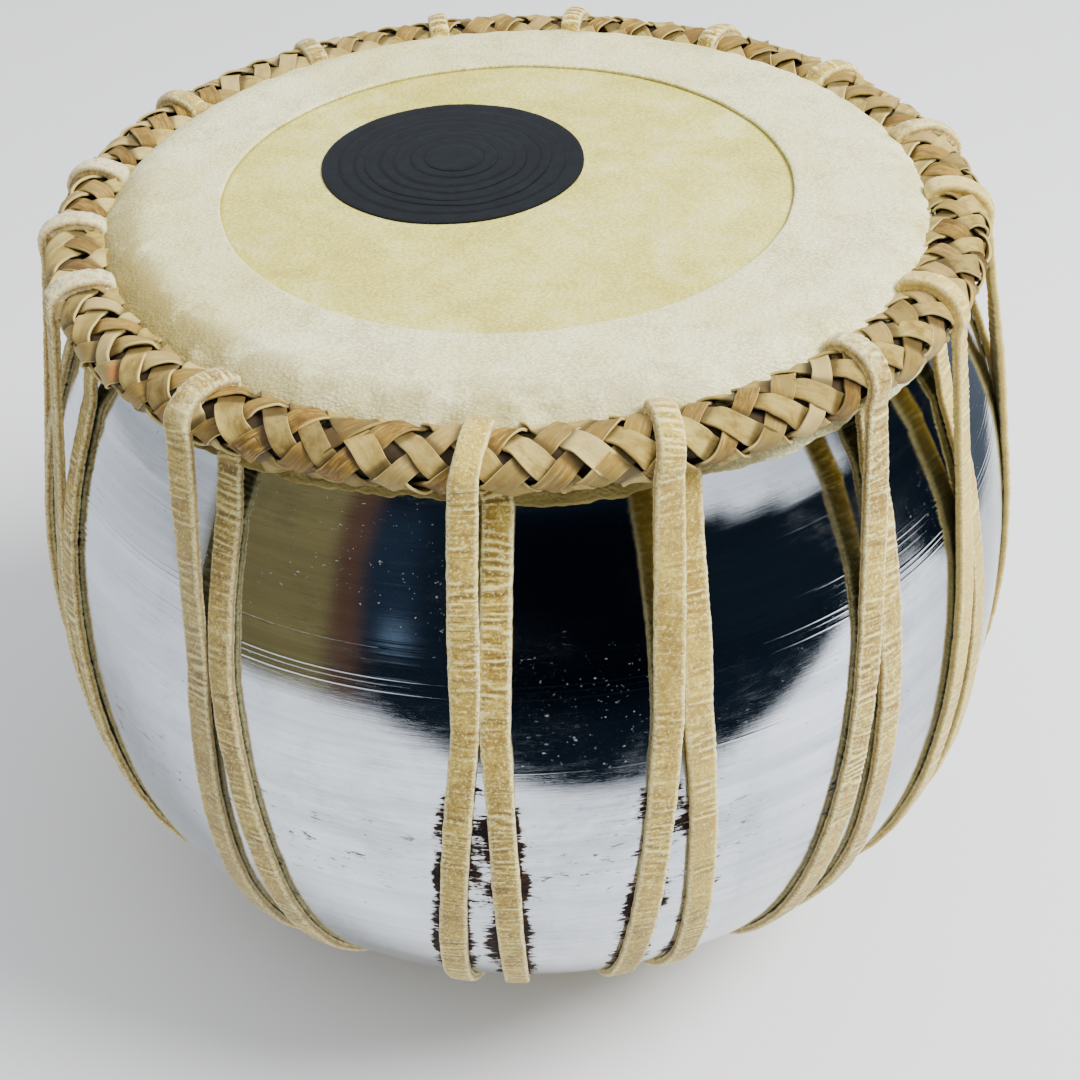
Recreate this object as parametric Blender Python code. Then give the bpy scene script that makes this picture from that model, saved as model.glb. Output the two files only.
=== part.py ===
"""Bayan of a tabla pair: a spun metal bowl with a three-layer laced skin.

Units are metres, +Z is up, and the origin is the centre of the flat foot.
"""

import math

import bmesh
import bpy

# ---------------------------------------------------------------- driving dimensions
CREST_Z = 0.252              # top of the skins above the foot
GAP = 0.0003                 # clearance between pieces that touch
SEGMENTS = 48                # sides of every turned piece
SHOULDER_SPANS = 5           # straight spans that make up each curved outline
LOWER_SPANS = 9
LIP_SPANS = 4
HOOP_SPANS = 8
ROUND_SPANS = 5
STRAP_LOWER_SPANS = 10
STRAP_TURN_SPANS = 6
STRAP_SPAN_LENGTH = 0.018    # longest span of a strap on the shoulder

BELLY_RADIUS = 0.1556
BELLY_Z = 0.122
SHOULDER_RISE = 0.184        # vertical half-axis of the ellipse above the belly
SHELL_WALL = 0.0018
MOUTH_Z = 0.2432             # where the wall turns over into its rolled lip
LIP_RADIUS = 0.0018
FOOT_RADIUS = 0.027
FOOT_SLOPE = 0.25            # rise of the bowl at the edge of the foot, radians
FOOT_PULL = 0.070            # how far the foot's slope carries outwards
BELLY_PULL = 0.084           # how far the belly's upright wall carries downwards

SKIN = 0.0009                # thickness of each hide layer
SKIN_STEP = SKIN + GAP
# Outer face of the skins over the mouth, from the flat head to the end of the skirt.
DRAPE = (
    (0.1040, 0.2520), (0.1092, 0.2519), (0.1134, 0.2510), (0.1170, 0.2491),
    (0.1200, 0.2463), (0.1224, 0.2426), (0.1247, 0.2380), (0.1268, 0.2330),
)
EDGE_SKIRT_Z = 0.2325
PLAYING_SKIRT_Z = 0.2370
LINING_SKIRT_Z = 0.2430
WINDOW_RADIUS = 0.0827       # opening cut in the edge skin
WINDOW_CENTRE = (-0.0024, -0.0012)
WINDOW_BLEND = 0.104         # radius at which the skins are round the drum's own axis
LINING_INNER_RADIUS = 0.0900

PATCH_RADIUS = 0.0392
PATCH_CENTRE = (-0.0183, 0.0140)
PATCH_EDGE = 0.0006
PATCH_CROWN = 0.0019
PATCH_RINGS = 5

HOOP_RADIUS = 0.1303         # middle of the plaited hoop
HOOP_Z = 0.2440
HOOP_HALF_WIDTH = 0.0040
HOOP_HALF_HEIGHT = 0.0058
CORE_RADIUS = 0.0020
HOOP_SEAM = 14               # half-angle of the plait's seam, which faces the bowl, degrees

RING_RADIUS = 0.0685         # middle of the wire ring under the bowl
RING_WIRE = 0.0025
RING_Z = 0.0060

STRAP_WIDTH = 0.0076
STRAP_THICKNESS = 0.0024
STRAP_LIFT = 0.0005          # strap's inner face above the bowl
STRAP_SLACK = 0.0006         # strap's inner face from the wire ring
STRAP_TOP_HALF_GAP = 0.0040  # strand's middle from the middle of its pair, by height
STRAP_LOW_HALF_GAP = 0.0078
STRAP_RING_HALF_GAP = 0.0054
STRAP_SPREAD_TOP_Z = 0.195   # the strands spread apart from here down to the low height
STRAP_SPREAD_LOW_Z = 0.060
FRONT_LEAVES_Z = 0.168       # height where the outer strand stops touching the bowl
PASSAGE_TOP_Z = 0.2445       # where the inner strand is squeezed behind the hoop
PASSAGE_END_Z = 0.222        # where it comes off the skirt and lies on the bowl
BOWL_LEAVES_RADIUS = 0.084   # radius where both strands leave the bowl for the ring
HOOP_TURN = (-8, 160)        # degrees of the hoop's section that a loop wraps
RING_TURN_END = -275         # degree of the wire's section where a turn ends
# Each loop's place round the hoop and round the ring, in degrees: hand lacing is uneven.
LACING = (
    (265, 262), (285, 281), (310, 299), (327, 318), (353, 343), (371, 367),
    (394, 391), (416, 415), (440, 439), (462, 462), (484, 485), (509, 511),
    (532, 535), (548, 557), (564, 575), (594, 600),
)

STEEL = ((0.62, 0.64, 0.66), 0.16, 1.0)
HIDE = ((0.74, 0.66, 0.48), 0.62, 0.0)
EDGE_HIDE = ((0.82, 0.77, 0.64), 0.66, 0.0)
LINING_HIDE = ((0.60, 0.50, 0.34), 0.75, 0.0)
PASTE = ((0.022, 0.025, 0.032), 0.58, 0.0)
PLAIT = ((0.52, 0.40, 0.22), 0.60, 0.0)
CORE = ((0.30, 0.21, 0.11), 0.80, 0.0)
SUEDE = ((0.66, 0.53, 0.31), 0.85, 0.0)
WIRE = ((0.33, 0.33, 0.34), 0.38, 1.0)


# ---------------------------------------------------------------- small geometry helpers
def clear_scene():
    for obj in list(bpy.data.objects):
        bpy.data.objects.remove(obj, do_unlink=True)


def material(name, finish):
    colour, roughness, metallic = finish
    made = bpy.data.materials.new(name)
    made.use_nodes = True
    shader = made.node_tree.nodes["Principled BSDF"]
    shader.inputs["Base Color"].default_value = (*colour, 1.0)
    shader.inputs["Roughness"].default_value = roughness
    shader.inputs["Metallic"].default_value = metallic
    return made


def finish_object(name, mesh_builder, finish_material, sharp_degrees=38):
    """Turn a bmesh into a shaded object of its own."""
    bmesh.ops.recalc_face_normals(mesh_builder, faces=mesh_builder.faces)
    mesh = bpy.data.meshes.new(name)
    mesh_builder.to_mesh(mesh)
    mesh_builder.free()
    mesh.shade_smooth()
    mesh.set_sharp_from_angle(angle=math.radians(sharp_degrees))
    mesh.materials.append(finish_material)
    obj = bpy.data.objects.new(name, mesh)
    bpy.context.scene.collection.objects.link(obj)
    return obj


def spin_profile(profile, closed):
    """Turn (radius, z) points once round Z. Ends on the axis close by themselves."""
    built = bmesh.new()
    points = [built.verts.new((radius, 0.0, z)) for radius, z in profile]
    edges = [built.edges.new(pair) for pair in zip(points, points[1:])]
    if closed:
        edges.append(built.edges.new((points[-1], points[0])))
    bmesh.ops.spin(
        built, geom=points + edges, cent=(0, 0, 0), axis=(0, 0, 1),
        angle=2 * math.pi, steps=SEGMENTS, use_merge=True, use_duplicate=False,
    )
    bmesh.ops.remove_doubles(built, verts=built.verts, dist=1e-6)
    return built


def blend(low, high, share):
    share = min(max(share, 0.0), 1.0)
    return low + (high - low) * share * share * (3 - 2 * share)


def offset(curve, distance):
    """The curve moved to its left-hand side; a negative distance moves it right."""
    moved = []
    for index, (x, z) in enumerate(curve):
        before = curve[max(index - 1, 0)]
        after = curve[min(index + 1, len(curve) - 1)]
        dx, dz = after[0] - before[0], after[1] - before[1]
        length = math.hypot(dx, dz)
        moved.append((x - dz / length * distance, z + dx / length * distance))
    return moved


def arc(centre, radius_x, radius_z, start, stop, spans):
    """Points on an ellipse between two angles in degrees."""
    angles = [math.radians(start + (stop - start) * i / spans) for i in range(spans + 1)]
    return [(centre[0] + radius_x * math.cos(a), centre[1] + radius_z * math.sin(a))
            for a in angles]


def circle(centre, radius):
    """A closed outline: the last point stops one span short of the first."""
    last = 360 * ROUND_SPANS / (ROUND_SPANS + 1)
    return arc(centre, radius, radius, 0, last, ROUND_SPANS)


# ---------------------------------------------------------------- bowl
def shoulder_radius(z):
    return BELLY_RADIUS * math.sqrt(1 - ((z - BELLY_Z) / SHOULDER_RISE) ** 2)


def lower_curve(spans):
    """Bezier from the belly down to the edge of the foot."""
    corners = (
        (BELLY_RADIUS, BELLY_Z),
        (BELLY_RADIUS, BELLY_Z - BELLY_PULL),
        (FOOT_RADIUS + FOOT_PULL * math.cos(FOOT_SLOPE), FOOT_PULL * math.sin(FOOT_SLOPE)),
        (FOOT_RADIUS, 0.0),
    )
    curve = []
    for step in range(spans + 1):
        t = step / spans
        weights = ((1 - t) ** 3, 3 * t * (1 - t) ** 2, 3 * t * t * (1 - t), t ** 3)
        curve.append(tuple(sum(w * c[k] for w, c in zip(weights, corners)) for k in (0, 1)))
    return curve


def upper_curve(top, spans):
    """Elliptical shoulder from height `top` down to the belly."""
    heights = [top + (BELLY_Z - top) * i / spans for i in range(spans + 1)]
    return [(shoulder_radius(z), z) for z in heights]


def outer_curve(top, upper_spans, lower_spans):
    return upper_curve(top, upper_spans) + lower_curve(lower_spans)[1:]


def build_shell():
    outside = outer_curve(MOUTH_Z, SHOULDER_SPANS, LOWER_SPANS)
    inside = offset(outside, -SHELL_WALL)
    inside[-1] = (FOOT_RADIUS, SHELL_WALL)
    lip_centre = (outside[0][0] - LIP_RADIUS, MOUTH_Z)
    lip = arc(lip_centre, LIP_RADIUS, LIP_RADIUS, 180, 0, LIP_SPANS)
    profile = [(0.0, SHELL_WALL), *reversed(inside[1:]), *lip, *outside[1:], (0.0, 0.0)]
    return finish_object("bowl_shell", spin_profile(profile, closed=False),
                         material("chromed_metal", STEEL))


# ---------------------------------------------------------------- skins
def drape(layer, skirt_z):
    """One face of the stack of skins, cut off at the height where its skirt ends."""
    return [point for point in offset(DRAPE, -layer * SKIN_STEP) if point[1] > skirt_z]


def shift_window(mesh_builder):
    """Move the opening off centre, fading out towards the drum's crest."""
    for vertex in mesh_builder.verts:
        radius = math.hypot(vertex.co.x, vertex.co.y)
        share = (WINDOW_BLEND - radius) / (WINDOW_BLEND - WINDOW_RADIUS)
        vertex.co.x += blend(0.0, WINDOW_CENTRE[0], share)
        vertex.co.y += blend(0.0, WINDOW_CENTRE[1], share)


def skin_profile(layer, inner_radius, skirt_z):
    """Closed outline of one hide layer from its inner edge to its skirt."""
    face = drape(layer, skirt_z)
    top_z = CREST_Z - layer * SKIN_STEP
    over = [(inner_radius, top_z), *face]
    under = offset(over, -SKIN)
    under[0] = (inner_radius, top_z - SKIN)
    return over + under[::-1]


def build_skins():
    edge = spin_profile(skin_profile(0, WINDOW_RADIUS, EDGE_SKIRT_Z), closed=True)
    shift_window(edge)
    finish_object("edge_skin", edge, material("edge_hide", EDGE_HIDE))
    playing = spin_profile(skin_profile(1, 0.0, PLAYING_SKIRT_Z), closed=False)
    head = finish_object("playing_skin", playing, material("playing_hide", HIDE))
    lining = spin_profile(skin_profile(2, LINING_INNER_RADIUS, LINING_SKIRT_Z), closed=True)
    finish_object("lining_skin", lining, material("lining_hide", LINING_HIDE))
    return head


def build_patch():
    """Tuning paste: a low dome standing on the playing skin, off centre."""
    foot_z = -PATCH_EDGE / 2
    rim = [(PATCH_RADIUS, foot_z), (PATCH_RADIUS - PATCH_EDGE, foot_z + PATCH_EDGE)]
    dome = []
    for ring in range(PATCH_RINGS - 1, -1, -1):
        share = ring / PATCH_RINGS
        height = foot_z + PATCH_EDGE + (PATCH_CROWN - PATCH_EDGE) * (1 - share ** 2)
        dome.append((PATCH_RADIUS * share, height))
    profile = [(0.0, foot_z), *rim, *dome]
    patch = finish_object("tuning_patch", spin_profile(profile, closed=False),
                          material("iron_paste", PASTE))
    patch.location = (*PATCH_CENTRE, CREST_Z - SKIN_STEP + GAP - foot_z)
    return patch


def build_head_press(*moving):
    """The upright axis along which the hand pushes the playing skin and its patch."""
    axis = bpy.data.objects.new("head_press_axis", None)
    bpy.context.scene.collection.objects.link(axis)
    for piece in moving:
        piece.parent = axis


# ---------------------------------------------------------------- hoop and ring
def build_hoop():
    """A round core inside a plaited sleeve, whose seam faces the bowl."""
    centre = (HOOP_RADIUS, HOOP_Z)
    bore = CORE_RADIUS + 2 * GAP
    outer_end = 180 - HOOP_SEAM
    inner_end = 180 - 2 * HOOP_SEAM
    outside = arc(centre, HOOP_HALF_WIDTH, HOOP_HALF_HEIGHT, -outer_end, outer_end, HOOP_SPANS)
    inside = arc(centre, bore, bore, inner_end, -inner_end, ROUND_SPANS)
    finish_object("plaited_hoop", spin_profile(outside + inside, closed=True),
                  material("plait_leather", PLAIT))
    finish_object("hoop_core", spin_profile(circle(centre, CORE_RADIUS), closed=True),
                  material("core_leather", CORE))


def build_ring():
    wire = circle((RING_RADIUS, RING_Z), RING_WIRE)
    finish_object("base_ring", spin_profile(wire, closed=True), material("ring_wire", WIRE))


# ---------------------------------------------------------------- lacing straps
def bowl_leg(top):
    """Strap's middle line on the bowl, from height `top` down to where it leaves."""
    lift = STRAP_LIFT + STRAP_THICKNESS / 2
    spans = round((top - BELLY_Z) / STRAP_SPAN_LENGTH)
    curve = offset(outer_curve(top, spans, STRAP_LOWER_SPANS), lift)
    return [point for point in curve if point[0] > BOWL_LEAVES_RADIUS or point[1] > BELLY_Z]


def ring_turn(last):
    """One turn round the wire ring, from the tangent that comes off the bowl."""
    reach = RING_WIRE + STRAP_SLACK + STRAP_THICKNESS / 2
    dx, dz = last[0] - RING_RADIUS, last[1] - RING_Z
    tangent = math.degrees(math.atan2(dz, dx) - math.acos(reach / math.hypot(dx, dz)))
    return arc((RING_RADIUS, RING_Z), reach, reach, tangent, RING_TURN_END, STRAP_TURN_SPANS)


def hoop_turn():
    """Over the plaited hoop, from its outer side to below its inner side."""
    reach = GAP + STRAP_THICKNESS / 2
    return arc((HOOP_RADIUS, HOOP_Z), HOOP_HALF_WIDTH + reach, HOOP_HALF_HEIGHT + reach,
               *HOOP_TURN, STRAP_TURN_SPANS)


def half_gap(z):
    """Distance of a strand's middle from its pair's middle at height z."""
    if z > STRAP_SPREAD_LOW_Z:
        share = (z - STRAP_SPREAD_LOW_Z) / (STRAP_SPREAD_TOP_Z - STRAP_SPREAD_LOW_Z)
        return blend(STRAP_LOW_HALF_GAP, STRAP_TOP_HALF_GAP, share)
    share = (z - RING_Z) / (STRAP_SPREAD_LOW_Z - RING_Z)
    return blend(STRAP_RING_HALF_GAP, STRAP_LOW_HALF_GAP, share)


def strap_stations():
    """(radius, z, side) along one strap: outer strand, loop, then inner strand."""
    outer = bowl_leg(FRONT_LEAVES_Z)
    squeezed = offset(DRAPE, STRAP_LIFT + STRAP_THICKNESS / 2)
    inner = [point for point in squeezed if point[1] < PASSAGE_TOP_Z] + bowl_leg(PASSAGE_END_Z)
    outer_down = outer + ring_turn(outer[-1])
    inner_down = inner + ring_turn(inner[-1])
    loop = hoop_turn()
    stations = [(r, z, -1.0) for r, z in reversed(outer_down)]
    for index, (r, z) in enumerate(loop):
        stations.append((r, z, blend(-1.0, 1.0, index / (len(loop) - 1))))
    stations += [(r, z, 1.0) for r, z in inner_down]
    return stations


def build_strap(name, top_degrees, ring_degrees, stations, suede):
    """Sweep the strap's flat section along its stations at this place on the drum."""
    built = bmesh.new()
    rings = []
    for index, (radius, z, side) in enumerate(stations):
        before = stations[max(index - 1, 0)]
        after = stations[min(index + 1, len(stations) - 1)]
        along_r, along_z = after[0] - before[0], after[1] - before[1]
        length = math.hypot(along_r, along_z)
        normal_r, normal_z = along_z / length, -along_r / length
        degrees = top_degrees + (ring_degrees - top_degrees) * min((HOOP_Z - z) / HOOP_Z, 1.0)
        angle = math.radians(degrees) + side * half_gap(z) / radius
        out = (math.cos(angle), math.sin(angle))
        across = (-out[1], out[0])
        corners = []
        for wide, thick in ((-1, -1), (1, -1), (1, 1), (-1, 1)):
            distance = radius + thick * STRAP_THICKNESS / 2 * normal_r
            shift = wide * STRAP_WIDTH / 2
            corners.append(built.verts.new((
                out[0] * distance + across[0] * shift,
                out[1] * distance + across[1] * shift,
                z + thick * STRAP_THICKNESS / 2 * normal_z,
            )))
        rings.append(corners)
    for first, second in zip(rings, rings[1:]):
        for k in range(4):
            built.faces.new((first[k], first[(k + 1) % 4], second[(k + 1) % 4], second[k]))
    built.faces.new(rings[0])
    built.faces.new(rings[-1])
    return finish_object(name, built, suede)


def build_lacing():
    suede = material("suede_strap", SUEDE)
    stations = strap_stations()
    for number, (top_degrees, ring_degrees) in enumerate(LACING, start=1):
        build_strap(f"lacing_strap_{number:02d}", top_degrees, ring_degrees, stations, suede)


def main():
    clear_scene()
    build_shell()
    head = build_skins()
    patch = build_patch()
    build_head_press(head, patch)
    build_hoop()
    build_ring()
    build_lacing()


main()
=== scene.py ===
"""Looks of the bass tabla on its CAD frame: hides, plaited hoop, suede lacing and chromed bowl."""
import math
from functools import partial, reduce

import bpy
import numpy as np
from mathutils import Matrix, Vector


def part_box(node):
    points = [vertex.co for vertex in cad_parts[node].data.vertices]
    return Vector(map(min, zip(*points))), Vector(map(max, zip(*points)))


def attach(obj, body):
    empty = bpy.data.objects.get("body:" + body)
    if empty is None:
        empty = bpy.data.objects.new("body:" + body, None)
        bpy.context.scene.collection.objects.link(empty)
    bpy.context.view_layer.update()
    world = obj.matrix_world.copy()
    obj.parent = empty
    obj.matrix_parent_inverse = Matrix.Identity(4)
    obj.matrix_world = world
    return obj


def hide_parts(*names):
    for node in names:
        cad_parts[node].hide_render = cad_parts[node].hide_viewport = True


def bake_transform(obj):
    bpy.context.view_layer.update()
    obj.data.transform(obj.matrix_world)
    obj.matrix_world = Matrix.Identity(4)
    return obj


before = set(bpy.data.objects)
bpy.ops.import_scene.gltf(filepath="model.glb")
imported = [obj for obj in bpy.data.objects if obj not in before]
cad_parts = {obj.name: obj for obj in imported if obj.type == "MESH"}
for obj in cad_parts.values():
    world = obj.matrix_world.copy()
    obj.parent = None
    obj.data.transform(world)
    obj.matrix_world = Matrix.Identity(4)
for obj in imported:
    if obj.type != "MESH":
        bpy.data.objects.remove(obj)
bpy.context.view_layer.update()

MM = 0.001

# ---- camera
LENS = 50.97                      # millimetres on a 36 mm sensor
CAMERA_DISTANCE = 0.458           # from the middle of the head's crest
CAMERA_RAISED = 0.463             # radians above the head
CAMERA_TURN = (0.233, -0.011, -0.043)   # tilt, pan and roll away from looking at the crest

# ---- light
LAMP_PLACE = (1.15, -0.25, 1.55)
LAMP_WIDTH = 0.9
LAMP_POWER = 76.0
ROOM_POWER = 0.95

# ---- sizes
CREST_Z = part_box("edge_skin")[1].z
HOOP_LOW, HOOP_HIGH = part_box("plaited_hoop")
PATCH_LOW, PATCH_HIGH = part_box("tuning_patch")
RING_LOW, RING_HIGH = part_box("base_ring")
STRAPS = sorted(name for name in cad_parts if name.startswith("lacing_strap"))

SKIN = 0.9 * MM                   # each hide layer
SKIN_STEP = 1.2 * MM              # from one layer's face to the next
HEAD_CROWN = 0.4 * MM             # how far the head's middle stands above its rim
HEAD_FREE_RADIUS = 108 * MM       # the head bends inside this radius
HEAD_RIGID_RADIUS = 64 * MM       # and moves as one inside this, which holds the patch

PLAIT_MIDDLE = (126.0 * MM, 243.9 * MM)
PLAIT_HALF = (8.0 * MM, 5.4 * MM)
PLAIT_CELLS = 67                  # strips of each lean round the hoop
PLAIT_ROW = math.radians(50)      # angle round the section from one crossing to the next
PLAIT_FIRST = math.radians(152)   # crossing nearest the skin

STRAP_WIDTH = 7.6 * MM
STRAP_THICKNESS = 2.4 * MM
STRAP_STEP = 0.5 * MM
STRAP_CORNER = [(0.985, 0.62), (0.90, 0.92), (0.68, 1.0), (0.34, 1.03)]   # shares of half its size
STRAP_FACE = [(-x, z) for x, z in STRAP_CORNER] + [(0.0, 1.04)] + STRAP_CORNER[::-1]
STRAP_SECTION = STRAP_FACE + [(1.0, 0.0)] + [(-x, -z) for x, z in STRAP_FACE] + [(-1.0, 0.0)]
RING_MIDDLE_Z = (RING_HIGH.z + RING_LOW.z) / 2
RING_WIRE = 2.5 * MM
RING_RADIUS = RING_HIGH.x - RING_WIRE


# ---- numbers
def smooth(share):
    share = np.clip(share, 0.0, 1.0)
    return share * share * (3 - 2 * share)


def ripple(points, wavelength, seed, count=20):
    """Smooth seeded noise of about that wavelength, with a spread of about 0.5."""
    rng = np.random.default_rng(seed)
    ways = rng.normal(size=(count, 3))
    ways /= np.linalg.norm(ways, axis=1)[:, None]
    ways *= (2 * math.pi / (wavelength * rng.uniform(0.7, 1.6, count)))[:, None]
    phases = rng.uniform(0, 2 * math.pi, count)
    return np.cos(np.asarray(points) @ ways.T + phases).sum(-1) / math.sqrt(2 * count)


def wander(size, step, wavelength, rng):
    """A smooth random line of `size` samples, from about -1 to 1."""
    knots = rng.uniform(-1, 1, int(size * step / wavelength) + 4)
    at = np.arange(size) * step / wavelength
    base = at.astype(int)
    return knots[base] + (knots[base + 1] - knots[base]) * smooth(at - base)


def lengths(line):
    """How far along the polyline each of its points is."""
    return np.r_[0, np.cumsum(np.linalg.norm(np.diff(line, axis=0), axis=1))]


def even(line, step):
    """The polyline resampled at about this step, measured in its first two columns."""
    line = np.asarray(line, float)
    along = lengths(line[:, :2])
    at = np.linspace(0, along[-1], int(along[-1] / step) + 1)
    return np.stack([np.interp(at, along, line[:, k]) for k in range(line.shape[1])], axis=1)


def soften(line, reach):
    """Moving average over `reach` samples each way, with the ends kept."""
    padded = np.concatenate([2 * line[:1] - line[1:reach + 1][::-1], line,
                             2 * line[-1:] - line[-reach - 1:-1][::-1]])
    window = np.hanning(2 * reach + 3)[1:-1]
    window /= window.sum()
    return np.stack([np.convolve(padded[:, k], window, mode="valid") for k in range(line.shape[1])], axis=1)


def curve_through(points, count):
    """A smooth curve through the points (cubic Hermite), at `count` even places."""
    points = np.asarray(points, float)
    along = lengths(points)
    slopes = np.gradient(points, along, axis=0)
    at = np.linspace(0, along[-1], count)
    left = np.clip(np.searchsorted(along, at, side="right") - 1, 0, len(along) - 2)
    span = along[left + 1] - along[left]
    t = ((at - along[left]) / span)[:, None]
    span = span[:, None]
    return ((2 * t**3 - 3 * t**2 + 1) * points[left] + (t**3 - 2 * t**2 + t) * span * slopes[left]
            + (3 * t**2 - 2 * t**3) * points[left + 1] + (t**3 - t**2) * span * slopes[left + 1])


def points_of(made):
    """The vertices of an object, as rows."""
    return np.array([vertex.co for vertex in made.data.vertices])


def outline(node):
    """Outer (radius, height) points of a turned CAD node, from the top down: its convex outline."""
    points = points_of(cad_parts[node]).tolist()
    flat = {(round(math.hypot(x, y), 6), round(z, 6)) for x, y, z in points}
    chain = []
    for radius, z in sorted(flat, key=lambda p: (-p[1], p[0])):
        while len(chain) > 1:
            (r0, z0), (r1, z1) = chain[-2:]
            if (r1 - r0) * (z - z0) - (z1 - z0) * (radius - r0) < 0:
                break
            chain.pop()
        chain.append((radius, z))
    return chain


def offset(curve, distance):
    """The (radius, height) curve moved to its outer side, for a curve that runs outwards and down."""
    curve = np.asarray(curve, float)
    ways = unit(np.gradient(curve, axis=0))
    return curve + distance * np.c_[-ways[:, 1], ways[:, 0]]


def polar(radius, angle, z):
    """Points from their distance from the axis, azimuth and height."""
    return np.stack(np.broadcast_arrays(radius * np.cos(angle), radius * np.sin(angle), z), -1)


def turned(profile, angles):
    """Points of the (radius, height) profile at each angle: rows follow the profile."""
    radius, z = np.asarray(profile, float).T[..., None]
    return polar(radius, angles, z)


def unit(ways):
    return ways / np.linalg.norm(ways, axis=-1, keepdims=True)


def radius_of(points):
    return np.hypot(points[..., 0], points[..., 1])


def azimuth_of(points):
    return np.arctan2(points[..., 1], points[..., 0])


def wrapped(angle):
    """The angle brought within half a turn of zero."""
    return (angle + math.pi) % (2 * math.pi) - math.pi


def around(count):
    return np.arange(count) * 2 * math.pi / count


def put(name, data):
    made = bpy.data.objects.new(name, data)
    bpy.context.scene.collection.objects.link(made)
    return made


# ---- meshes
class Surface:
    """Grids of points collected into one mesh, with named values at its points."""

    def __init__(self):
        self.points, self.faces, self.values, self.count = [], [], {}, 0

    def add(self, points, closed=True, capped=False, looped=False, **values):
        """`closed` joins the last column to the first, `looped` the rows; `capped` fills both ends."""
        rows, columns = points.shape[:2]
        index = self.count + np.arange(rows * columns).reshape(rows, columns)
        ends = (index[0, ::-1].tolist(), index[-1].tolist())
        if closed:
            index = np.hstack([index, index[:, :1]])
        if looped:
            index = np.vstack([index, index[:1]])
        quads = np.stack([index[:-1, :-1], index[:-1, 1:], index[1:, 1:], index[1:, :-1]], axis=-1)
        self.faces += quads.reshape(-1, 4).tolist()
        if capped:
            self.faces += ends
        self.points.append(points.reshape(-1, 3))
        for name, value in values.items():
            spread = np.broadcast_to(value, (rows, columns)).ravel()
            self.values.setdefault(name, []).append(spread)
        self.count += rows * columns
        return self

    def build(self, name, material, slot, nodes, body="drum"):
        mesh = bpy.data.meshes.new(name)
        mesh.from_pydata(np.concatenate(self.points).tolist(), [], self.faces)
        for key, parts in self.values.items():
            data = mesh.attributes.new(key, "FLOAT", "POINT").data
            data.foreach_set("value", np.concatenate(parts).astype(np.float32))
        mesh.validate()
        mesh.shade_smooth()
        mesh.materials.append(material)
        piece = put(name, mesh)
        if body:
            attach(piece, body)
        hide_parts(*nodes)
        return piece


# ---- materials
class Nodes:
    """A node tree with short ways to add to it."""

    def __init__(self, tree):
        self.tree = tree
        self.place = self.node("TexCoord").outputs["Object"]

    def feed(self, socket, value):
        if isinstance(value, bpy.types.NodeSocket):
            self.tree.links.new(value, socket)
        elif isinstance(value, tuple) and len(value) == 3 and socket.type == "RGBA":
            socket.default_value = (*value, 1.0)
        else:
            socket.default_value = value

    def node(self, kind, inputs=(), **settings):
        made = self.tree.nodes.new("ShaderNode" + kind)
        for key, value in settings.items():
            setattr(made, key, value)
        for key, value in dict(inputs).items():
            self.feed(made.inputs[key], value)
        return made

    def math(self, operation, *values):
        return self.node("Math", dict(enumerate(values)), operation=operation).outputs[0]

    def times(self, *values):
        return reduce(partial(self.math, "MULTIPLY"), values)

    def plus(self, *values):
        return reduce(partial(self.math, "ADD"), values)

    def most(self, first, second):
        return self.math("MAXIMUM", first, second)

    def value(self, name):
        return self.node("Attribute", attribute_name=name).outputs["Fac"]

    def scaled(self, x, y, z, turn=0.0):
        made = self.node("Mapping", {"Vector": self.place, "Scale": (x, y, z), "Rotation": (0, 0, turn)})
        return made.outputs[0]

    def noise(self, scale, where=None, detail=4.0, rough=0.55, twist=0.0):
        made = self.node("TexNoise", {"Vector": where or self.place, "Scale": scale, "Detail": detail,
                                      "Roughness": rough, "Distortion": twist})
        return made.outputs["Fac"]

    def cells(self, scale, where=None):
        return self.node("TexVoronoi", {"Vector": where or self.place, "Scale": scale}).outputs["Distance"]

    def step(self, value, low, high, start=0.0, end=1.0):
        made = self.node("MapRange", {"Value": value, "From Min": low, "From Max": high, "To Min": start,
                                      "To Max": end}, interpolation_type="SMOOTHSTEP")
        return made.outputs["Result"]

    def tint(self, share, first, second):
        return self.node("Mix", {"Factor": share, 6: first, 7: second}, data_type="RGBA").outputs[2]

    def over(self, colour, share, amount, shade):
        """The shade laid over a colour, `amount` strong where share is 1."""
        return self.tint(self.times(share, amount), colour, shade)

    def lay(self, colour, value, low, high, amount, shade):
        """The shade laid over a colour as the value goes from low to high."""
        return self.over(colour, self.step(value, low, high), amount, shade)

    def vector(self, x, y, z=0.0):
        return self.node("CombineXYZ", {"X": x, "Y": y, "Z": z}).outputs[0]

    def height(self):
        return self.node("SeparateXYZ", {"Vector": self.place}).outputs["Z"]

    def spot(self, centre, inner, outer):
        """1 within `inner` of the point, 0 beyond `outer`."""
        apart = self.node("VectorMath", {0: self.place, 1: centre}, operation="DISTANCE")
        return self.step(apart.outputs["Value"], inner, outer, 1.0, 0.0)


class Look(Nodes):
    """A Principled material under construction."""

    def __init__(self, name, **sockets):
        self.material = bpy.data.materials.new(name)
        self.material.use_nodes = True
        super().__init__(self.material.node_tree)
        self.shader = self.tree.nodes["Principled BSDF"]
        self.set(**sockets)

    def set(self, **sockets):
        for key, value in sockets.items():
            self.feed(self.shader.inputs[key.replace("_", " ")], value)

    def bump(self, height, depth, under=None):
        """A bump `depth` metres deep where height goes from 0 to 1."""
        made = self.node("Bump", {"Height": height, "Distance": depth, "Strength": 1.0})
        if under is not None:
            self.feed(made.inputs["Normal"], under)
        return made.outputs["Normal"]


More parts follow.
